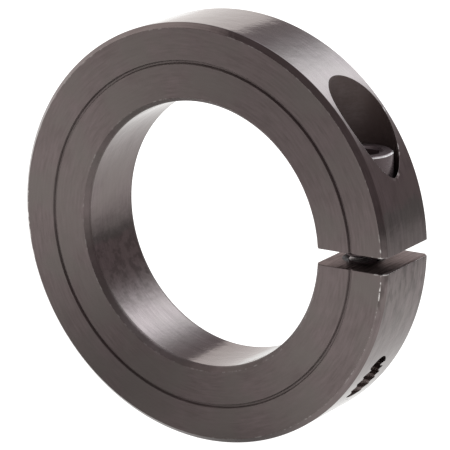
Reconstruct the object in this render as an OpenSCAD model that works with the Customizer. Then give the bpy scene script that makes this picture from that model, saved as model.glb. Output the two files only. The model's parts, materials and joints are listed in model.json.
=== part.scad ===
// One-piece clamping shaft collar: a slotted steel ring closed by one socket head cap screw.
// The origin is the middle of the bore. The bore runs along Y, with the grooved face towards -Y.
// The slot opens towards +X, and the screw stands along Z with its head in the upper jaw.

/* [Ring] */
// Diameter of the shaft bore
bore_d = 44.45; // [42:0.05:45]
// Outside diameter
outer_d = 70.4; // [68:0.1:74]
// Width along the shaft
ring_w = 14; // [13:0.5:18]
// Chamfer on the two outer edges
outer_chamfer = 0.8; // [0.3:0.1:1.2]
// Chamfer on the two bore edges, measured across the face
bore_chamfer = 0.7; // [0.3:0.1:1]
// Length of the bore chamfers along the shaft
bore_chamfer_l = 0.9; // [0.5:0.1:1.6]

/* [Face groove] */
// Diameter of the fine groove turned in the front face
groove_d = 57.6; // [52:0.2:62]
// Width of the groove where it meets the face
groove_w = 0.7; // [0.3:0.1:1]
// Depth of the groove
groove_depth = 0.4; // [0.2:0.05:0.8]

/* [Slot] */
// Width of the slot sawn through one side of the ring
slot_w = 2.6; // [1.5:0.1:3.5]

/* [Screw seat] */
// Distance from the bore's axis to the screw's axis
screw_offset = 27.2; // [26.6:0.1:27.8]
// Diameter of the counterbore that takes the head
seat_d = 11.1; // [10.2:0.1:11.4]
// Height of the seat under the head, above the middle of the slot
seat_z = 10; // [9:0.1:11]
// Diameter of the plain hole under the seat
clearance_d = 7.1; // [6.7:0.1:7.3]

/* [Screw] */
// Outside diameter of the thread
thread_d = 6.25; // [5.8:0.05:6.35]
// Distance from one thread ridge to the next
pitch = 1.27; // [1:0.01:1.4]
// Radial play between the screw's thread and the tapped hole
thread_play = 0.12; // [0.08:0.01:0.2]
// Length of the screw under its head
screw_length = 19.05; // [16:0.05:22]
// Diameter of the head
head_d = 9.35; // [9:0.05:10]
// Height of the head
head_h = 6.35; // [5:0.05:7]
// Chamfer on the rim of the head
head_chamfer = 0.3; // [0.2:0.1:0.9]
// Distance across the flats of the hex socket
socket_af = 4.76; // [4:0.01:5]
// Depth of the hex socket
socket_depth = 3.2; // [2.5:0.1:4]

/* [Hidden] */

bore_r = bore_d / 2;
outer_r = outer_d / 2;
half_w = ring_w / 2;
// The groove's floor is narrower than its mouth
groove_floor = 0.4 * groove_w;
crest_r = thread_d / 2;
// A 60 degree thread with flat crests: depth, and half widths of a ridge at its crest and root
thread_depth = 0.54 * pitch;
root_r = crest_r - thread_depth;
crest_half = pitch / 16;
root_half = crest_half + thread_depth * tan(30);
// Plain length under the head, before the first ridge
neck = 1.6;
// Cone at the screw's tip, and the drill point under the socket
tip = 0.9;
drill_angle = 59;
socket_r = socket_af / 2 / cos(30);
// Where the tapped hole starts, and how wide its lead-in cone is
jaw_z = -slot_w / 2;
lead_in_r = clearance_d / 2;
over = 1;

// The four corners of one thread ridge around height z, on a rod made thicker by play
function ridge(z, play) = [
    [root_r + play, z - root_half],
    [crest_r + play, z - crest_half],
    [crest_r + play, z + crest_half],
    [root_r + play, z + root_half]
];

// Every whole pitch between two heights, so that screw and tapped hole share their ridges
function ridge_rows(low, high, play) =
    [for (k = [ceil((low + root_half) / pitch) : floor((high - root_half) / pitch)])
        each ridge(k * pitch, play)];

// A threaded rod around Z from low to high, with each turn of its thread as a closed ridge
module threaded_rod(low, high, play) {
    rotate_extrude($fn = 64)
        polygon(concat(
            [[0, low], [root_r + play, low]],
            ridge_rows(low, high, play),
            [[root_r + play, high], [0, high]]));
}

// Section of the ring, with the bore's axis as the polygon's Y axis and the front face low
module ring_section() {
    polygon([
        [bore_r, -half_w + bore_chamfer_l],
        [bore_r + bore_chamfer, -half_w],
        [(groove_d - groove_w) / 2, -half_w],
        [(groove_d - groove_floor) / 2, -half_w + groove_depth],
        [(groove_d + groove_floor) / 2, -half_w + groove_depth],
        [(groove_d + groove_w) / 2, -half_w],
        [outer_r - outer_chamfer, -half_w],
        [outer_r, -half_w + outer_chamfer],
        [outer_r, half_w - outer_chamfer],
        [outer_r - outer_chamfer, half_w],
        [bore_r + bore_chamfer, half_w],
        [bore_r, half_w - bore_chamfer_l]
    ]);
}

module slot_cut() {
    translate([bore_r - 2 * over, -half_w - over, -slot_w / 2])
        cube([outer_r - bore_r + 4 * over, ring_w + 2 * over, slot_w]);
}

// Counterbore and plain hole down to the slot, in the upper jaw
module seat_cut() {
    translate([screw_offset, 0, seat_z]) cylinder(d = seat_d, h = outer_r, $fn = 96);
    translate([screw_offset, 0, 0]) cylinder(d = clearance_d, h = seat_z + over, $fn = 96);
}

// Tapped hole right through the lower jaw, with a lead-in cone at the slot
module tapped_cut() {
    lead_in = lead_in_r - root_r - thread_play;
    translate([screw_offset, 0, 0]) {
        threaded_rod(-outer_r, 0, thread_play);
        translate([0, 0, jaw_z - lead_in])
            cylinder(r1 = root_r + thread_play, r2 = lead_in_r, h = lead_in, $fn = 96);
    }
}

module collar_ring() {
    color([0.30, 0.27, 0.27])
        difference() {
            rotate([-90, 0, 0]) rotate_extrude($fn = 180) ring_section();
            slot_cut();
            seat_cut();
            tapped_cut();
        }
}

// Head of the cap screw, standing on z = 0, with its hex socket
module screw_head() {
    drill_depth = socket_r * tan(90 - drill_angle);
    difference() {
        rotate_extrude($fn = 96)
            polygon([
                [0, 0],
                [head_d / 2 - 0.2, 0],
                [head_d / 2, 0.2],
                [head_d / 2, head_h - head_chamfer],
                [head_d / 2 - head_chamfer, head_h],
                [0, head_h]
            ]);
        translate([0, 0, head_h - socket_depth])
            cylinder(r = socket_r, h = socket_depth + over, $fn = 6);
        translate([0, 0, head_h - socket_depth - drill_depth])
            cylinder(r1 = 0, r2 = socket_af / 2, h = drill_depth + 0.01, $fn = 48);
        translate([0, 0, head_h - 0.35])
            cylinder(r1 = socket_r - 0.1, r2 = socket_r + 0.35, h = 0.45, $fn = 48);
    }
}

module clamp_screw() {
    end_z = seat_z - screw_length;
    color([0.22, 0.20, 0.21])
        translate([screw_offset, 0, 0]) {
            translate([0, 0, seat_z]) screw_head();
            translate([0, 0, seat_z - neck]) cylinder(r = crest_r, h = neck + 0.01, $fn = 64);
            threaded_rod(end_z + tip, seat_z - neck + 0.01, 0);
            translate([0, 0, end_z])
                cylinder(r1 = root_r - 0.5, r2 = root_r, h = tip + 0.01, $fn = 64);
        }
}

collar_ring();
clamp_screw();
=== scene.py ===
import json
from math import asin, ceil, cos, floor, hypot, pi, radians, sin, sqrt, tan

import bmesh
import bpy
import numpy as np
from mathutils import Matrix, Vector


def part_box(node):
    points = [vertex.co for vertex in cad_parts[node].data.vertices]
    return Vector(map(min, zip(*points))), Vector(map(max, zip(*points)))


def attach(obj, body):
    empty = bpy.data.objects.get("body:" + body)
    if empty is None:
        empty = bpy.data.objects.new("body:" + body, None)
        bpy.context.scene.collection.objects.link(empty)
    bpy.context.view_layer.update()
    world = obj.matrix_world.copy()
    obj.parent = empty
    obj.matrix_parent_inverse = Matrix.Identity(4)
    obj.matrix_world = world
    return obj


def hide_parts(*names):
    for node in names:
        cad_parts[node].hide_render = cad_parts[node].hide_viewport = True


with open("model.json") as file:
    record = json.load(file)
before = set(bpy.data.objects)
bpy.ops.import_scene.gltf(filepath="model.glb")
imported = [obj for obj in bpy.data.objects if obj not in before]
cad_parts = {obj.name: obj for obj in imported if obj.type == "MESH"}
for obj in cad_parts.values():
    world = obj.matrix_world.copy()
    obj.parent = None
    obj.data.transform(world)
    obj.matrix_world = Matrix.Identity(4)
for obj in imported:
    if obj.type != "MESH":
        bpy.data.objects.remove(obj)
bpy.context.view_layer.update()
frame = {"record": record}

# ---------------------------------------------------------------- sizes, in metres
RING_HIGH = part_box("collar_ring")[1]
SCREW_LOW, SCREW_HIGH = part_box("clamp_screw")
MOUNTS = {m["name"]: m for m in frame["record"]["mounts"]}
SCREW_PIVOT = next(j for j in frame["record"]["behaviour"]["joints"] if j["name"] == "screw_turn")["pos_m"]

OUTER_R = RING_HIGH[2]
HALF_W = RING_HIGH[1]
BORE_R = MOUNTS["shaft_bore"]["dims"]["r_mm"] / 1000
OUTER_CHAMFER = 0.0008
BORE_CHAMFER, BORE_CHAMFER_L = 0.0007, 0.0009
GROOVE_R, GROOVE_HALF, GROOVE_FLOOR, GROOVE_DEPTH = 0.0288, 0.00035, 0.00014, 0.0004
SLOT_H = 0.0013
SLOT_EDGE = 0.00009           # radius on the slot's edges
ROWS = 360                    # steps around the ring

AXIS_X = SCREW_PIVOT[0]
SEAT_Z = SCREW_PIVOT[2]
SEAT_R = 0.00555
SEAT_RIM = 0.00014            # how far the counterbore's rim is broken
CLEAR_R = 0.00355
PITCH = 0.00127
CREST_R = 0.003125
THREAD_DEPTH = 0.54 * PITCH
ROOT_R = CREST_R - THREAD_DEPTH
CREST_HALF = PITCH / 16
ROOT_HALF = CREST_HALF + THREAD_DEPTH * tan(radians(30))
PLAY = 0.00012
HEAD_R = (SCREW_HIGH[0] - SCREW_LOW[0]) / 2
HEAD_TOP = SCREW_HIGH[2]
TIP_Z = SCREW_LOW[2]
NECK, TIP, HEAD_CHAMFER = 0.0016, 0.0009, 0.0003
SOCKET_AF, SOCKET_DEPTH = 0.00476, 0.0032
JOIN_Z = -0.0016              # the screw's winding thread ends here, inside the tapped hole's lead-in
TAP_JOIN_Z = -0.0104          # the tapped hole's closed ridges end here, and its winding thread takes over
TAP_END_Z = -0.0282
RELIEF_R, RELIEF_LOW, RELIEF_HIGH = 0.00345, -0.0189, -0.0168

FLOOR_Z = -OUTER_R
FLOOR_SIZE = 4.0              # half the floor's width
FLOOR_LIGHT = 1.25            # how bright the steel sees the floor

# colour of bare steel where the oxide is worn off, and of the painted highlights on edges and rims
BARE_STEEL_AND_HIGHLIGHT = (0.60, 0.57, 0.56, 1)
DIRT = (0.075, 0.062, 0.06, 1)


# ---------------------------------------------------------------- outlines
def offset(corners, distance):
    """The closed outline moved inwards by distance, corner by corner. Outlines run anticlockwise."""
    out = []
    for i, p in enumerate(corners):
        a = (p - corners[i - 1]) / np.linalg.norm(p - corners[i - 1])
        q = corners[(i + 1) % len(corners)]
        b = (q - p) / np.linalg.norm(q - p)
        na, nb = np.array((-a[1], a[0])), np.array((-b[1], b[0]))
        out.append(p + (na + nb) * distance / (1 + na @ nb))
    return out


def rounded(corners, radii, inset=0.0, steps=4, closed=True):
    """Points and outward normals of an anticlockwise outline with an arc at every corner."""
    corners = [np.array(c, float) for c in corners]
    moved = offset(corners, inset) if inset else corners
    points, normals = [], []
    for i, (p, r) in enumerate(zip(moved, radii)):
        if not closed and i in (0, len(moved) - 1):
            q = moved[1] if i == 0 else moved[-2]
            d = (q - p if i == 0 else p - q) / np.linalg.norm(q - p)
            points.append(p)
            normals.append(np.array((d[1], -d[0])))
            continue
        a = p - moved[i - 1]
        b = moved[(i + 1) % len(moved)] - p
        a, b = a / np.linalg.norm(a), b / np.linalg.norm(b)
        turn = np.arctan2(a[0] * b[1] - a[1] * b[0], a @ b)
        side = 1 if turn > 0 else -1
        r = max(r - side * inset, 2e-6)
        start = p - a * r * abs(tan(turn / 2))
        centre = start + side * r * np.array((-a[1], a[0]))
        for k in range(steps + 1):
            t = turn * k / steps
            n = np.array((a[1] * cos(t) + a[0] * sin(t), -a[0] * cos(t) + a[1] * sin(t)))
            points.append(centre + side * r * n)
            normals.append(n)
    return np.array(points), np.array(normals)


def ring_section(inset=0.0):
    """Section of the ring as (distance from the bore's axis, place along it), anticlockwise."""
    low, high = -HALF_W, HALF_W
    corners = [
        (BORE_R, low + BORE_CHAMFER_L), (BORE_R + BORE_CHAMFER, low),
        (GROOVE_R - GROOVE_HALF, low), (GROOVE_R - GROOVE_FLOOR, low + GROOVE_DEPTH),
        (GROOVE_R + GROOVE_FLOOR, low + GROOVE_DEPTH), (GROOVE_R + GROOVE_HALF, low),
        (OUTER_R - OUTER_CHAMFER, low), (OUTER_R, low + OUTER_CHAMFER),
        (OUTER_R, high - OUTER_CHAMFER), (OUTER_R - OUTER_CHAMFER, high),
        (BORE_R + BORE_CHAMFER, high), (BORE_R, high - BORE_CHAMFER_L),
    ]
    mm = 0.001
    radii = [r * mm for r in (1.0, 0.10, 0.05, 0.05, 0.05, 0.05, 0.10, 0.20, 0.20, 0.10, 0.10, 1.0)]
    return rounded(corners, radii, inset)


# ---------------------------------------------------------------- mesh helpers
def new_object(name, verts, faces):
    mesh = bpy.data.meshes.new(name)
    mesh.from_pydata([tuple(v) for v in verts], [], faces)
    bm = bmesh.new()
    bm.from_mesh(mesh)
    bmesh.ops.recalc_face_normals(bm, faces=bm.faces)
    bm.to_mesh(mesh)
    bm.free()
    obj = bpy.data.objects.new(name, mesh)
    bpy.context.scene.collection.objects.link(obj)
    return obj


def lathe(name, profile, segments=128):
    """A solid turned around the screw's axis. The profile (radius, height) starts and ends on the axis."""
    verts, rings = [], []
    for r, z in profile:
        if r < 1e-9:
            rings.append([len(verts)])
            verts.append((AXIS_X, 0, z))
        else:
            rings.append(list(range(len(verts), len(verts) + segments)))
            verts += [(AXIS_X + r * cos(2 * pi * s / segments), r * sin(2 * pi * s / segments), z)
                      for s in range(segments)]
    faces = []
    for low, high in zip(rings, rings[1:]):
        for s in range(segments):
            t = (s + 1) % segments
            face = [low[s % len(low)], low[t % len(low)], high[t % len(high)], high[s % len(high)]]
            faces.append(list(dict.fromkeys(face)))
    return new_object(name, verts, faces)


def combine(target, other, operation):
    """target with other cut from it or joined to it, and other removed."""
    mod = target.modifiers.new("combine", "BOOLEAN")
    mod.operation, mod.solver, mod.object = operation, "MANIFOLD", other
    graph = bpy.context.evaluated_depsgraph_get()
    mesh = bpy.data.meshes.new_from_object(target.evaluated_get(graph))
    target.modifiers.clear()
    old, name = target.data, target.data.name
    target.data = mesh
    bpy.data.meshes.remove(old)
    mesh.name = name
    bpy.data.objects.remove(other)


def ridge(z, play):
    """The four corners of one thread ridge, from its upper root to its lower root."""
    return [(ROOT_R + play, z + ROOT_HALF), (CREST_R + play, z + CREST_HALF),
            (CREST_R + play, z - CREST_HALF), (ROOT_R + play, z - ROOT_HALF)]


def closed_ridges(high, low, play):
    """Ridges at every whole pitch between two heights, from the top down, as in the CAD model."""
    first, last = floor((high - ROOT_HALF) / PITCH), ceil((low + ROOT_HALF) / PITCH)
    return [p for k in range(first, last - 1, -1) for p in ridge(k * PITCH, play)]


def wound_rod(name, high, low, root, crest, segments=64):
    """A rod with one winding right-hand thread between two heights."""
    shape = [(root, -ROOT_HALF), (crest, -CREST_HALF), (crest, CREST_HALF), (root, ROOT_HALF)]
    z0 = low + ROOT_HALF
    count = int((high - low - 2 * ROOT_HALF) / PITCH * segments)
    verts = []
    for i in range(count + 1):
        t = 2 * pi * i / segments
        verts += [(AXIS_X + r * cos(t), r * sin(t), z0 + PITCH * i / segments + dz) for r, dz in shape]
    faces = [(4 * i + s, 4 * i + 4 + s, 4 * i + 5 + s, 4 * i + 1 + s)
             for i in range(count) for s in range(3)]
    up = 4 * segments
    faces += [(4 * i + 3, 4 * i + 7, 4 * i + 4 + up, 4 * i + up) for i in range(count - segments)]
    last = 4 * count
    bottom = [4 * i for i in range(segments + 1)] + [3, 2, 1]
    top = [4 * i + 3 for i in range(count - segments, count + 1)] + [last + 2, last + 1, last]
    for loop, z in ((bottom, z0 + 0.1 * PITCH), (top, z0 + PITCH * count / segments - 0.1 * PITCH)):
        verts.append((AXIS_X, 0, z))
        faces += [(a, b, len(verts) - 1) for a, b in zip(loop, loop[1:] + loop[:1])]
    return new_object(name, verts, faces)


def set_normals(obj, sharp_degrees, surfaces):
    """Smooth shading with sharp corners, and exact normals on the surfaces whose normals are known.

    Each surface takes vertex places and face normals, and gives normals and a mask of where they hold."""
    mesh = obj.data
    mesh.shade_smooth()
    mesh.set_sharp_from_angle(angle=radians(sharp_degrees))
    loops = len(mesh.loops)
    corner = np.empty(loops * 3)
    mesh.corner_normals.foreach_get("vector", corner)
    corner = corner.reshape(-1, 3)
    place = np.empty(len(mesh.vertices) * 3)
    mesh.vertices.foreach_get("co", place)
    index = np.empty(loops, int)
    mesh.loops.foreach_get("vertex_index", index)
    place = place.reshape(-1, 3)[index]
    sizes = np.empty(len(mesh.polygons), int)
    mesh.polygons.foreach_get("loop_total", sizes)
    flat = np.empty(len(mesh.polygons) * 3)
    mesh.polygons.foreach_get("normal", flat)
    flat = np.repeat(flat.reshape(-1, 3), sizes, axis=0)
    for surface in surfaces:
        normals, holds = surface(place, flat)
        holds &= (normals * flat).sum(axis=1) > 0.9
        corner[holds] = normals[holds]
    mesh.normals_split_custom_set([tuple(n) for n in corner])


# ---------------------------------------------------------------- the ring
def ring_blank():
    """The turned ring with its slot, every edge broken by a small radius."""
    rows = []
    for angle in (0, 30, 60):
        section = ring_section(SLOT_EDGE * (1 - sin(radians(angle))))[0]
        z = SLOT_H + SLOT_EDGE * (1 - cos(radians(angle)))
        rows.append([(sqrt(r * r - z * z), y, z) for r, y in section])
    section = ring_section()[0]
    for i in range(ROWS + 1):
        row = []
        for r, y in section:
            start = asin((SLOT_H + SLOT_EDGE) / r)
            t = start + (2 * pi - 2 * start) * i / ROWS
            row.append((r * cos(t), y, r * sin(t)))
        rows.append(row)
    rows += [[(x, y, -z) for x, y, z in row] for row in rows[2::-1]]
    n = len(section)
    faces = [(i * n + s, i * n + (s + 1) % n, (i + 1) * n + (s + 1) % n, (i + 1) * n + s)
             for i in range(len(rows) - 1) for s in range(n)]
    faces += [tuple(range(n)), tuple(range(len(rows) * n - n, len(rows) * n))]
    return new_object("collar_ring_turned", [v for row in rows for v in row], faces)


def seat_cutter():
    """Counterbore, plain hole and their small chamfers, cut from the slot up through the upper jaw."""
    c = 0.00018
    top = OUTER_R + 0.001
    r = 0.0003
    corner = [(SEAT_R - r + r * sin(t), SEAT_Z + r - r * cos(t)) for t in np.radians((0, 30, 60, 90))]
    return lathe("seat_cutter", [(0, 0), (CLEAR_R + c, 0), (CLEAR_R + c, SLOT_H), (CLEAR_R, SLOT_H + c),
                                 (CLEAR_R, SEAT_Z - c), (CLEAR_R + c, SEAT_Z), *corner,
                                 (SEAT_R, top), (0, top)])


def rim_cutter():
    """A thin ring that breaks the edge where the counterbore leaves the outside, blunter where sharp."""
    steps = 160
    shape = ((1.25, -0.15), (0.55, 0.13), (0.13, 0.55), (-0.15, 1.25), (-0.8, -0.8))
    verts = []
    for i in range(steps):
        t = 2 * pi * i / steps
        x, y = AXIS_X + SEAT_R * cos(t), SEAT_R * sin(t)
        edge = Vector((x, y, sqrt(OUTER_R ** 2 - x * x)))
        out, away = Vector((edge.x, 0, edge.z)).normalized(), Vector((cos(t), sin(t), 0))
        along = out.cross(away).normalized()
        over = along.cross(out)
        over *= 1 if over.dot(away) > 0 else -1
        down = Vector((0, 0, -1))
        reach = 0.6 * SEAT_RIM / sin(max(over.angle(down), 0.1) / 2)
        verts += [edge + (over * a + down * b) * reach for a, b in shape]
    n = len(shape)
    faces = [(i * n + s, i * n + (s + 1) % n, (i + 1) % steps * n + (s + 1) % n, (i + 1) % steps * n + s)
             for i in range(steps) for s in range(n)]
    return new_object("rim_cutter", verts, faces)


def tapped_cutter():
    """Upper part of the tapped hole, with the lead-in cone: closed ridges that clear the screw's own."""
    root = ROOT_R + PLAY
    cone_end = -SLOT_H - (CLEAR_R - root)
    below = [(r, z) for r, z in closed_ridges(cone_end + 0.0001, TAP_JOIN_Z, PLAY) if z < cone_end]
    return lathe("tapped_cutter", [(0, 0), (CLEAR_R, 0), (CLEAR_R, -SLOT_H), (root, cone_end),
                                   *below, (root, TAP_JOIN_Z), (0, TAP_JOIN_Z)])


def exit_cutter():
    """Lower part of the tapped hole: one winding thread that breaks out of the outside surface."""
    return wound_rod("exit_cutter", TAP_JOIN_Z + 0.0003, TAP_END_Z, ROOT_R + PLAY + 1e-5, CREST_R + PLAY)


def relief_cutter():
    """Where the outermost turn of the thread has broken away at the hole's upper end."""
    return lathe("relief_cutter", [(0, RELIEF_LOW), (RELIEF_R, RELIEF_LOW),
                                   (RELIEF_R, RELIEF_HIGH), (0, RELIEF_HIGH)])


def ring_surfaces():
    """Where the ring's exact normals are known: its turned outline, its cylinders and the counterbore."""
    section, slopes = ring_section()

    def outline(place, flat):
        radius = np.hypot(place[:, 0], place[:, 2])
        gap = np.abs(radius[:, None] - section[:, 0]) + np.abs(place[:, 1][:, None] - section[:, 1])
        slope = slopes[gap.argmin(axis=1)]
        outward = slope[:, 0] / radius
        normals = np.stack((outward * place[:, 0], slope[:, 1], outward * place[:, 2]), 1)
        body = (np.abs(place[:, 2]) > SLOT_H + SLOT_EDGE - 1e-7) | (place[:, 0] < 0)
        return normals, (gap.min(axis=1) < 3e-7) & body

    def cylinder(radius, sign, x=0.0, upright=False):
        def surface(place, flat):
            a, b = (0, 1) if upright else (0, 2)
            d = np.zeros_like(place)
            d[:, a], d[:, b] = place[:, a] - x, place[:, b]
            size = np.linalg.norm(d, axis=1)
            return sign * d / size[:, None], np.abs(size - radius) < 3e-6
        return surface

    return [outline, cylinder(OUTER_R, 1), cylinder(BORE_R, -1),
            cylinder(SEAT_R, -1, AXIS_X, True), cylinder(CLEAR_R, -1, AXIS_X, True)]


def make_ring(faced, turned, sawn, drilled):
    """The whole ring, standing for the CAD model's ring."""
    ring = ring_blank()
    for cutter in (seat_cutter(), rim_cutter(), tapped_cutter(), exit_cutter(), relief_cutter()):
        combine(ring, cutter, "DIFFERENCE")
    set_normals(ring, 32, ring_surfaces())
    ring.data.materials.clear()
    for material in (faced, turned, sawn, drilled):
        ring.data.materials.append(material)
    for p in ring.data.polygons:
        near = [ring.data.vertices[v].co for v in p.vertices]
        radii = [sqrt(v.x ** 2 + v.z ** 2) for v in near]
        outside = any(all(abs(r - round_r) < 3e-6 for r in radii) for round_r in (OUTER_R, BORE_R))
        at_rim = min(radii) > OUTER_R - OUTER_CHAMFER - 0.0001
        if all(abs(v.z) < SLOT_H + 1e-6 and v.x > 0 for v in near):
            p.material_index = 2
        elif not outside and all(hypot(v.x - AXIS_X, v.y) < SEAT_R + 2e-5 for v in near):
            p.material_index = 3
        elif outside or at_rim and not all(abs(v.y) == HALF_W for v in near):
            p.material_index = 1
    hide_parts("collar_ring")
    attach(ring, "ring")


# ---------------------------------------------------------------- the screw
def screw_head():
    """Head and neck, with rounded rims."""
    corners = [(0, SEAT_Z - NECK), (CREST_R, SEAT_Z - NECK), (CREST_R, SEAT_Z), (HEAD_R, SEAT_Z),
               (HEAD_R, HEAD_TOP - HEAD_CHAMFER), (HEAD_R - HEAD_CHAMFER, HEAD_TOP), (0, HEAD_TOP)]
    mm = 0.001
    radii = [r * mm for r in (0, 0.1, 0.2, 0.2, 0.15, 0.12, 0)]
    points = rounded(corners, radii, closed=False)[0]
    return lathe("clamp_screw_turned", points, 160)


def hex_cutter():
    """Hex socket with slightly rounded corners."""
    corner_r = SOCKET_AF / sqrt(3)
    corners = [(corner_r * cos(radians(60 * k)), corner_r * sin(radians(60 * k))) for k in range(6)]
    outline = rounded(corners, [0.00012] * 6)[0]
    n = len(outline)
    verts = [(AXIS_X + x, y, z) for z in (HEAD_TOP - SOCKET_DEPTH, HEAD_TOP + 0.001) for x, y in outline]
    faces = [(s, (s + 1) % n, n + (s + 1) % n, n + s) for s in range(n)]
    return new_object("hex_cutter", verts, faces + [tuple(range(n)), tuple(range(n, 2 * n))])


def drill_cutter():
    """Mouth cone of the socket, and the drill point under it."""
    floor_z = HEAD_TOP - SOCKET_DEPTH
    corner_r = SOCKET_AF / sqrt(3)
    drill_r = SOCKET_AF / 2 - 2e-5
    return [lathe("mouth_cutter", [(0, HEAD_TOP - 0.00035), (corner_r - 0.0001, HEAD_TOP - 0.00035),
                                   (corner_r + 0.00035, HEAD_TOP + 0.0001), (0, HEAD_TOP + 0.0001)], 96),
            lathe("point_cutter", [(0, floor_z - corner_r * tan(radians(31))), (drill_r, floor_z),
                                   (drill_r, floor_z + 0.0001), (0, floor_z + 0.0001)], 96)]


def screw_tip():
    """Lower thread, with closed ridges that clear the ring's, and the cone at the end."""
    high = JOIN_Z + 0.0002
    return lathe("screw_tip", [(0, high), (ROOT_R - 1e-5, high),
                               *closed_ridges(JOIN_Z - 0.0002, TIP_Z + TIP, 0),
                               (ROOT_R, TIP_Z + TIP), (ROOT_R - 0.0005, TIP_Z), (0, TIP_Z)], 96)


def make_screw(oxide):
    """The whole screw, standing for the CAD model's screw."""
    screw = screw_head()
    for cutter in (hex_cutter(), *drill_cutter()):
        combine(screw, cutter, "DIFFERENCE")
    thread = wound_rod("screw_thread", SEAT_Z - NECK + 0.0003, JOIN_Z, ROOT_R, CREST_R - 1e-5, 96)
    for part in (thread, screw_tip()):
        combine(screw, part, "UNION")
    set_normals(screw, 28, [])
    screw.data.materials.clear()
    screw.data.materials.append(oxide)
    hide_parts("clamp_screw")
    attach(screw, "screw")


# ---------------------------------------------------------------- materials
class Nodes:
    """A small helper that writes the nodes of its owner, a material or the world."""

    def __init__(self, owner):
        owner.use_nodes = True
        self.owner = owner
        self.tree = owner.node_tree
        self.shader = self.tree.nodes.get("Principled BSDF")

    def add(self, kind, inputs=(), **settings):
        node = self.tree.nodes.new(kind)
        for key, value in settings.items():
            setattr(node, key, value)
        for key, value in dict(inputs).items():
            self.put(node.inputs[key], value)
        return node

    def put(self, socket, value):
        if isinstance(value, bpy.types.NodeSocket):
            self.tree.links.new(value, socket)
        else:
            socket.default_value = value

    def math(self, operation, a, b=0.0):
        return self.add("ShaderNodeMath", {0: a, 1: b}, operation=operation).outputs[0]

    def product(self, *values):
        """All the values multiplied together."""
        result = values[0]
        for value in values[1:]:
            result = self.math("MULTIPLY", result, value)
        return result

    def apart(self, value, target):
        """How far value is from target."""
        return self.math("ABSOLUTE", self.math("SUBTRACT", value, target))

    def length(self, a, b):
        """Length of the vector (a, b)."""
        return self.math("SQRT", self.math("ADD", self.math("MULTIPLY", a, a), self.math("MULTIPLY", b, b)))

    def parts(self, vector):
        return self.add("ShaderNodeSeparateXYZ", {0: vector}).outputs

    def noise(self, vector, scale, detail=2.0, rough=0.5):
        inputs = {"Vector": vector, "Scale": scale, "Detail": detail, "Roughness": rough}
        return self.add("ShaderNodeTexNoise", inputs).outputs["Fac"]

    def span(self, value, low, high, to_low, to_high):
        """value from low to high mapped to to_low..to_high, held at the ends."""
        node = self.add("ShaderNodeMapRange", {"Value": value, "From Min": low, "From Max": high,
                                               "To Min": to_low, "To Max": to_high})
        return node.outputs["Result"]

    def blend(self, factor, a, b):
        node = self.add("ShaderNodeMix", data_type="RGBA")
        self.put(node.inputs["Factor"], factor)
        self.put(node.inputs[6], a)
        self.put(node.inputs[7], b)
        return node.outputs[2]


def around(nodes, centre_x, upright):
    """Coordinates that run around an axis: (unit direction about it, distance from it, place along it)."""
    place = nodes.add("ShaderNodeTexCoord").outputs["Object"]
    x, y, z = nodes.parts(place)
    x = nodes.math("SUBTRACT", x, centre_x)
    side, along = (y, z) if upright else (z, y)
    radius = nodes.math("MAXIMUM", nodes.length(x, side), 1e-4)
    return place, (nodes.math("DIVIDE", x, radius), nodes.math("DIVIDE", side, radius)), radius, along


def streaks(nodes, direction, across, length, spacing, detail=2.0):
    """Noise drawn out around an axis: length is how far a streak runs, in parts of a radian."""
    vector = nodes.add("ShaderNodeCombineXYZ", {
        0: nodes.math("MULTIPLY", direction[0], 1 / length),
        1: nodes.math("MULTIPLY", direction[1], 1 / length),
        2: nodes.math("MULTIPLY", across, 1 / spacing)}).outputs[0]
    return nodes.noise(vector, 1.0, detail)


def slot_rubs_and_highlights(nodes, place, radius, along):
    """Oxide rubbed off in patches on the front outer edge beside the slot, and a painted highlight in patches
    on the slot's outer corners.
    """
    x, y, z = nodes.parts(place)
    height = nodes.math("ABSOLUTE", z)
    gap = nodes.math("ADD", nodes.apart(radius, OUTER_R - OUTER_CHAMFER), nodes.apart(along, -HALF_W))
    edge = nodes.product(nodes.span(gap, 0.00006, 0.00018, 1.0, 0.0),
                         nodes.span(z, 0.0035, 0.005, 1.0, 0.0),
                         nodes.span(height, 0.0075, 0.009, 1.0, 0.0))
    # painted highlight along the slot's outer corners
    corner = nodes.product(nodes.span(height, SLOT_H + 0.00010, SLOT_H + 0.00022, 1.0, 0.0),
                           nodes.span(along, -0.0066, -0.0058, 1.0, 0.0),
                           nodes.span(x, 0.0325, 0.0335, 0.0, 1.0))
    patches = nodes.span(nodes.noise(place, 700.0, 3.0, 0.6), 0.47, 0.56, 0.0, 1.0)
    return nodes.product(nodes.math("MAXIMUM", edge, corner), patches)


def painted_seat_highlight(nodes, place):
    """Painted highlight in bright specks on the back half of the counterbore's rim, towards its lower end."""
    x, y, z = nodes.parts(place)
    reach = nodes.length(nodes.math("SUBTRACT", x, AXIS_X), y)
    return nodes.product(nodes.span(nodes.apart(reach, SEAT_R + 0.0001), 0.00008, 0.0002, 1.0, 0.0),
                         nodes.span(y, -0.001, 0.001, 0.0, 1.0),
                         nodes.span(z, 0.0215, 0.0235, 1.0, 0.0),
                         nodes.span(z, 0.010, 0.012, 0.0, 1.0),
                         nodes.span(nodes.noise(place, 900.0, 3.0, 0.6), 0.50, 0.60, 0.0, 0.8))


def edge_specks(nodes, place, radius, along):
    """Faint specks along the front face's inner and outer edges."""
    inner = nodes.apart(radius, BORE_R + BORE_CHAMFER)
    outer = nodes.apart(radius, OUTER_R - OUTER_CHAMFER)
    gap = nodes.math("ADD", nodes.math("MINIMUM", inner, outer), nodes.apart(along, -HALF_W))
    return nodes.product(nodes.span(gap, 0.00006, 0.00020, 1.0, 0.0),
                         nodes.span(nodes.noise(place, 1100.0, 3.0, 0.6), 0.52, 0.66, 0.0, 0.22))


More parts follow.
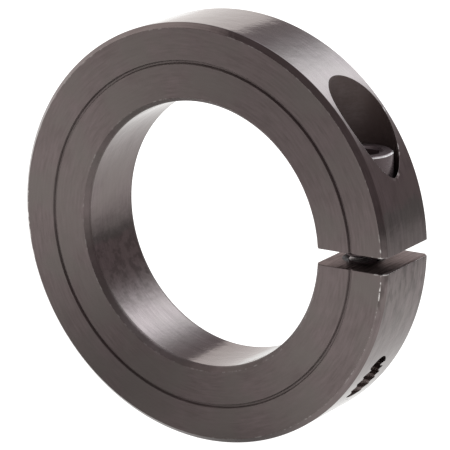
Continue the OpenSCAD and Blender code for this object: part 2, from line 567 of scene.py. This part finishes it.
def worn_and_highlit_edges(nodes, place, radius, along):
    """Where the ring's oxide is rubbed off, and where highlights along its edges are painted."""
    rubbed_and_highlit = nodes.math("MAXIMUM", slot_rubs_and_highlights(nodes, place, radius, along), painted_seat_highlight(nodes, place))
    return nodes.math("MAXIMUM", rubbed_and_highlit, edge_specks(nodes, place, radius, along))


def painted_rim_highlight(nodes, place, radius, along):
    """The bright outer rim of the screw head: a painted highlight."""
    gap = nodes.math("ADD", nodes.apart(radius, HEAD_R - 0.0001), nodes.apart(along, HEAD_TOP - 0.0002))
    patches = nodes.span(nodes.noise(place, 800.0, 3.0, 0.6), 0.35, 0.60, 0.35, 1.0)
    return nodes.product(nodes.span(gap, 0.0001, 0.00022, 1.0, 0.0), patches)


def jaw_smudges(nodes, place, direction, along):
    """Dark smudges drawn out around the ring, on the lower jaw just under the slot."""
    x, y, z = nodes.parts(place)
    drawn_out = streaks(nodes, direction, along, 0.10, 0.0012, 3.0)
    return nodes.product(nodes.span(drawn_out, 0.48, 0.62, 0.0, 0.75),
                         nodes.span(z, -0.018, -0.006, 0.0, 1.0),
                         nodes.span(z, -0.0013, 0.0, 1.0, 0.35),
                         nodes.span(x, 0.020, 0.028, 0.0, 1.0))


def bore_blotches(nodes, place):
    """Dark blotches low on the bore's far side."""
    x, y, z = nodes.parts(place)
    return nodes.product(nodes.span(nodes.noise(place, 520.0, 4.0, 0.62), 0.47, 0.60, 0.0, 0.65),
                         nodes.span(x, -0.013, -0.010, 1.0, 0.0),
                         nodes.span(x, -0.030, -0.026, 0.0, 1.0),
                         nodes.span(z, -0.006, -0.002, 1.0, 0.0),
                         nodes.span(z, -0.0165, -0.0125, 0.0, 1.0))


def turned_steel(name, dark, light, tint, centre_x=0.0, upright=False, roughness=0.43, anisotropic=0.87,
                 bump=0.5, grain=0.25, waves=0.0, wear_and_highlight=None, stained=False, metallic=1.0):
    """Black-oxided steel with turning marks around an axis, blotches, small pits and tinted patches."""
    nodes = Nodes(bpy.data.materials.new(name))
    place, direction, radius, along = around(nodes, centre_x, upright)
    across = nodes.math("ADD", along, nodes.math("MULTIPLY", radius, 1.31))
    fine = streaks(nodes, direction, across, 0.16, 0.00016, 2.0)
    bands = streaks(nodes, direction, across, 0.5, 0.0006, 3.0)
    scuffs = streaks(nodes, direction, across, 0.10, 0.0005, 2.0)
    blotch = nodes.noise(place, 190.0, 4.0, 0.6)
    pits = nodes.noise(place, 2600.0, 2.0, 0.5)
    tone = nodes.math("ADD", nodes.math("MULTIPLY", nodes.math("ADD", bands, fine), grain / 2),
                      nodes.math("MULTIPLY", nodes.math("ADD", scuffs, blotch), (1 - grain) / 2))
    colour = nodes.blend(nodes.span(tone, 0.40, 0.60, 0.0, 1.0), dark, light)
    patches = nodes.span(nodes.noise(place, 130.0, 2.0, 0.5), 0.42, 0.62, 0.0, 0.8)
    colour = nodes.blend(patches, colour, tint)
    rough = nodes.math("ADD", nodes.span(fine, 0.3, 0.7, -0.03, 0.03),
                       nodes.span(blotch, 0.3, 0.7, -0.02, 0.02))
    rough = nodes.math("ADD", rough, roughness)
    if stained:
        dirt = nodes.math("MAXIMUM", jaw_smudges(nodes, place, direction, along), bore_blotches(nodes, place))
        colour = nodes.blend(dirt, colour, DIRT)
    # bare steel where the oxide is worn off, and painted highlights on edges and rims
    if wear_and_highlight:
        colour = nodes.blend(wear_and_highlight(nodes, place, radius, along), colour, BARE_STEEL_AND_HIGHLIGHT)
    shader = nodes.shader
    nodes.put(shader.inputs["Base Color"], colour)
    shader.inputs["Metallic"].default_value = metallic
    nodes.put(shader.inputs["Roughness"], rough)
    shader.inputs["Anisotropic"].default_value = anisotropic
    shader.inputs["Anisotropic Rotation"].default_value = 0.25
    tangent = nodes.add("ShaderNodeTangent", direction_type="RADIAL", axis="Z" if upright else "Y")
    nodes.put(shader.inputs["Tangent"], tangent.outputs[0])
    height = nodes.math("ADD", nodes.math("MULTIPLY", fine, 0.7), nodes.span(pits, 0.30, 0.42, -0.5, 0.0))
    relief = nodes.add("ShaderNodeBump", {"Strength": bump, "Distance": 0.000012, "Height": height})
    if waves:
        swell = nodes.noise(place, 230.0, 3.0, 0.55)
        wavy = nodes.add("ShaderNodeBump", {"Strength": 1.0, "Distance": waves, "Height": swell})
        nodes.put(relief.inputs["Normal"], wavy.outputs[0])
    nodes.put(shader.inputs["Normal"], relief.outputs[0])
    return nodes.owner


def sawn_steel(name, dark, light):
    """Slot faces: straight saw marks across the ring's width, light and dark."""
    nodes = Nodes(bpy.data.materials.new(name))
    place = nodes.add("ShaderNodeTexCoord").outputs["Object"]
    x, y, z = nodes.parts(place)
    vector = nodes.add("ShaderNodeCombineXYZ", {
        0: nodes.math("MULTIPLY", x, 3600.0),
        1: nodes.math("MULTIPLY", y, 240.0),
        2: nodes.math("MULTIPLY", z, 300.0)}).outputs[0]
    marks = nodes.noise(vector, 1.0, 4.0, 0.6)
    blotch = nodes.noise(place, 320.0, 4.0, 0.6)
    shader = nodes.shader
    tone = nodes.math("ADD", nodes.math("MULTIPLY", marks, 0.75), nodes.math("MULTIPLY", blotch, 0.25))
    nodes.put(shader.inputs["Base Color"], nodes.blend(nodes.span(tone, 0.41, 0.62, 0.0, 1.0), dark, light))
    shader.inputs["Metallic"].default_value = 0.8
    shader.inputs["Specular Tint"].default_value = (0.62, 0.55, 0.55, 1)
    nodes.put(shader.inputs["Roughness"], nodes.span(tone, 0.35, 0.65, 0.30, 0.46))
    relief = nodes.add("ShaderNodeBump", {"Strength": 0.9, "Distance": 0.00003, "Height": marks})
    nodes.put(shader.inputs["Normal"], relief.outputs[0])
    return nodes.owner


def floor_paint():
    """Plain pale floor, bright enough to print white."""
    nodes = Nodes(bpy.data.materials.new("pale_floor"))
    shader = nodes.shader
    shader.inputs["Base Color"].default_value = (0.3, 0.3, 0.3, 1)
    shader.inputs["Roughness"].default_value = 0.9
    shader.inputs["Specular IOR Level"].default_value = 0.0
    shader.inputs["Emission Color"].default_value = (1.0, 0.985, 0.98, 1)
    shader.inputs["Emission Strength"].default_value = 1.02
    nodes.owner.cycles.emission_sampling = "NONE"
    return nodes.owner


# ---------------------------------------------------------------- stage, light and camera
def floor_sheet(name, z, paint):
    """A level square sheet at height z."""
    mesh = bpy.data.meshes.new(name)
    s = FLOOR_SIZE
    mesh.from_pydata([(-s, -s, z), (s, -s, z), (s, s, z), (-s, s, z)], [], [(0, 1, 2, 3)])
    mesh.materials.append(paint)
    sheet = bpy.data.objects.new(name, mesh)
    bpy.context.scene.collection.objects.link(sheet)
    return sheet


def make_floor():
    floor_obj = floor_sheet("floor", FLOOR_Z, floor_paint())


def shade_paint():
    """What the steel sees of the floor, as painted light and painted shadow in the card's glow: bright
    nearby, darker far off to the right and towards the camera, and darkest just in front of where the ring
    stands, as the ring's painted shadow."""
    nodes = Nodes(bpy.data.materials.new("shaded_floor"))
    place = nodes.add("ShaderNodeTexCoord").outputs["Object"]
    x, y, z = nodes.parts(place)
    right = nodes.math("ADD", nodes.math("MULTIPLY", x, 0.834), nodes.math("MULTIPLY", y, 0.551))
    front = nodes.math("SUBTRACT", nodes.math("MULTIPLY", x, 0.551), nodes.math("MULTIPLY", y, 0.834))
    painted_light_and_shadow = nodes.product(nodes.span(right, 0.06, 0.15, 1.0, 0.60), nodes.span(right, 0.15, 0.40, 1.0, 0.52),
                          nodes.span(front, 0.05, 0.13, 1.0, 0.85), nodes.span(front, 0.13, 0.40, 1.0, 0.70),
                          nodes.span(right, -0.05, 0.03, 1.1, 1.0))

    def shadow(centre_x, centre_y, long, wide, depth):
        """A soft painted shadow spot drawn out along the front left diagonal."""
        a, b = nodes.math("SUBTRACT", x, centre_x), nodes.math("SUBTRACT", y, centre_y)
        a, b = nodes.math("ADD", a, b), nodes.math("SUBTRACT", a, b)
        a, b = nodes.math("DIVIDE", a, 1.414 * long), nodes.math("DIVIDE", b, 1.414 * wide)
        squares = nodes.math("ADD", nodes.math("MULTIPLY", a, a), nodes.math("MULTIPLY", b, b))
        spot = nodes.math("MULTIPLY", nodes.math("EXPONENT", nodes.math("MULTIPLY", squares, -1.0)), -depth)
        return nodes.math("ADD", spot, 1.0)

    # painted shadows of the ring on the floor, strongest just in front of where it stands
    painted_light_and_shadow = nodes.product(painted_light_and_shadow, shadow(-0.032, -0.033, 0.045, 0.028, 0.62),
                          shadow(0.008, -0.004, 0.010, 0.012, 0.6),
                          shadow(-0.018, -0.075, 0.045, 0.028, 0.13),
                          shadow(0.045, 0.034, 0.026, 0.018, 0.13))
    shader = nodes.shader
    shader.inputs["Base Color"].default_value = (0, 0, 0, 1)
    shader.inputs["Specular IOR Level"].default_value = 0.0
    shader.inputs["Emission Color"].default_value = (1.0, 1.0, 0.985, 1)
    nodes.put(shader.inputs["Emission Strength"], nodes.math("MULTIPLY", painted_light_and_shadow, FLOOR_LIGHT))
    nodes.owner.cycles.emission_sampling = "NONE"
    return nodes.owner


def make_shade():
    """A glowing card on the floor, out of the camera's sight, that carries the painted floor light and
    painted shadow which the steel reflects.
    """
    shade = floor_sheet("shade", FLOOR_Z + 0.00005, shade_paint())
    shade.visible_camera = False


def make_world():
    """Soft studio light: a long strip overhead, a white wall on the left, dimmer front and right sides."""
    world = bpy.data.worlds.new("studio")
    bpy.context.scene.world = world
    nodes = Nodes(world)
    nodes.tree.nodes.clear()
    way = nodes.add("ShaderNodeTexCoord").outputs["Generated"]
    x, y, z = nodes.parts(way)
    strip_angle, strip_width = 77.0, 17.3
    angle = nodes.math("MULTIPLY", nodes.math("ARCTAN2", z, x), 180 / pi)
    off = nodes.math("DIVIDE", nodes.math("SUBTRACT", angle, strip_angle), strip_width)
    strip = nodes.math("EXPONENT", nodes.math("MULTIPLY", nodes.math("MULTIPLY", off, off), -0.5))
    strip = nodes.math("MULTIPLY", strip, nodes.span(y, -0.25, 0.45, 0.0, 1.0))
    # The wall's top edge rises towards the front and grows softer there
    forward = nodes.math("MAXIMUM", nodes.math("SUBTRACT", 0.45, y), 0.0)
    slope = nodes.math("DIVIDE", z, nodes.math("MAXIMUM", nodes.math("MULTIPLY", x, -1.0), 0.001))
    top = nodes.math("ADD", nodes.math("MULTIPLY", forward, 1.35), 1.02)
    soft = nodes.math("ADD", nodes.math("MULTIPLY", forward, 2.3), 0.2)
    wall = nodes.span(nodes.math("DIVIDE", nodes.math("SUBTRACT", slope, top), soft), -0.5, 0.5, 1.0, 0.0)
    wall = nodes.product(wall, nodes.span(y, -0.75, -0.3, 0.0, 1.0), nodes.span(z, 0.0, 0.4, 0.75, 1.0),
                         nodes.span(x, -0.1, 0.0, 1.0, 0.0))
    base = nodes.span(y, -0.3, 0.6, 0.28, 0.41)

    def light(strip_level, wall_level, base_level):
        total = nodes.math("ADD", nodes.product(strip, strip_level), nodes.product(wall, wall_level))
        return nodes.math("ADD", total, nodes.product(base, base_level))

    colour = nodes.add("ShaderNodeCombineColor", {0: light(3.15, 1.04, 1.06), 1: light(3.5, 1.04, 0.94),
                                                  2: light(3.6, 0.99, 0.96)}).outputs[0]
    back = nodes.add("ShaderNodeBackground", {"Color": colour, "Strength": 1.0})
    out = nodes.add("ShaderNodeOutputWorld")
    nodes.put(out.inputs["Surface"], back.outputs[0])


def make_camera():
    """The photograph's viewing angle: 33 degrees to the right, 16 up, with a slight roll."""
    azimuth, elevation, roll = radians(33.46), radians(15.89), radians(0.84)
    distance = 14 * OUTER_R
    away = Vector((sin(azimuth) * cos(elevation), -cos(azimuth) * cos(elevation), sin(elevation)))
    right = Vector((cos(azimuth), sin(azimuth), 0))
    up = away.cross(right)
    target = (right * 0.01634 + up * 0.00517) * OUTER_R
    place = away * distance
    back = (place - target).normalized()
    side = Vector((0, 0, 1)).cross(back).normalized()
    top = back.cross(side)
    side, top = side * cos(roll) - top * sin(roll), top * cos(roll) + side * sin(roll)
    data = bpy.data.cameras.new("camera")
    data.lens, data.sensor_width = 240.0, 36.0
    data.clip_start, data.clip_end = 0.01, 50.0
    camera = bpy.data.objects.new("camera", data)
    turn = Matrix((side, top, back)).transposed().to_4x4()
    camera.matrix_world = Matrix.Translation(place) @ turn
    bpy.context.scene.collection.objects.link(camera)
    bpy.context.scene.camera = camera
    bpy.context.scene.view_settings.view_transform = "Standard"
    bpy.context.scene.view_settings.look = "None"


make_camera()
make_world()
make_floor()
make_shade()
faced = turned_steel("black_oxide_faced", (0.128, 0.104, 0.1025, 1), (0.168, 0.1355, 0.136, 1),
                     (0.146, 0.1275, 0.1215, 1), wear_and_highlight=worn_and_highlit_edges)
turned = turned_steel("black_oxide_turned", (0.118, 0.096, 0.096, 1), (0.165, 0.135, 0.136, 1),
                      (0.145, 0.122, 0.119, 1), roughness=0.12, anisotropic=0.1, bump=0.12, grain=0.6,
                      waves=0.00007, wear_and_highlight=worn_and_highlit_edges, stained=True)
sawn = sawn_steel("black_oxide_sawn", (0.06, 0.045, 0.043, 1), (0.27, 0.228, 0.222, 1))
drilled = turned_steel("black_oxide_drilled", (0.10, 0.074, 0.069, 1), (0.15, 0.117, 0.114, 1),
                       (0.12, 0.089, 0.083, 1), centre_x=AXIS_X, upright=True, roughness=0.5,
                       anisotropic=0.3, bump=0.7, grain=0.6, metallic=0.4)
make_ring(faced, turned, sawn, drilled)
make_screw(turned_steel("black_oxide_screw", (0.140, 0.108, 0.116, 1), (0.180, 0.140, 0.150, 1),
                        (0.160, 0.125, 0.130, 1), centre_x=AXIS_X, upright=True, roughness=0.3,
                        anisotropic=0.3, bump=0.4, wear_and_highlight=painted_rim_highlight, metallic=0.55))
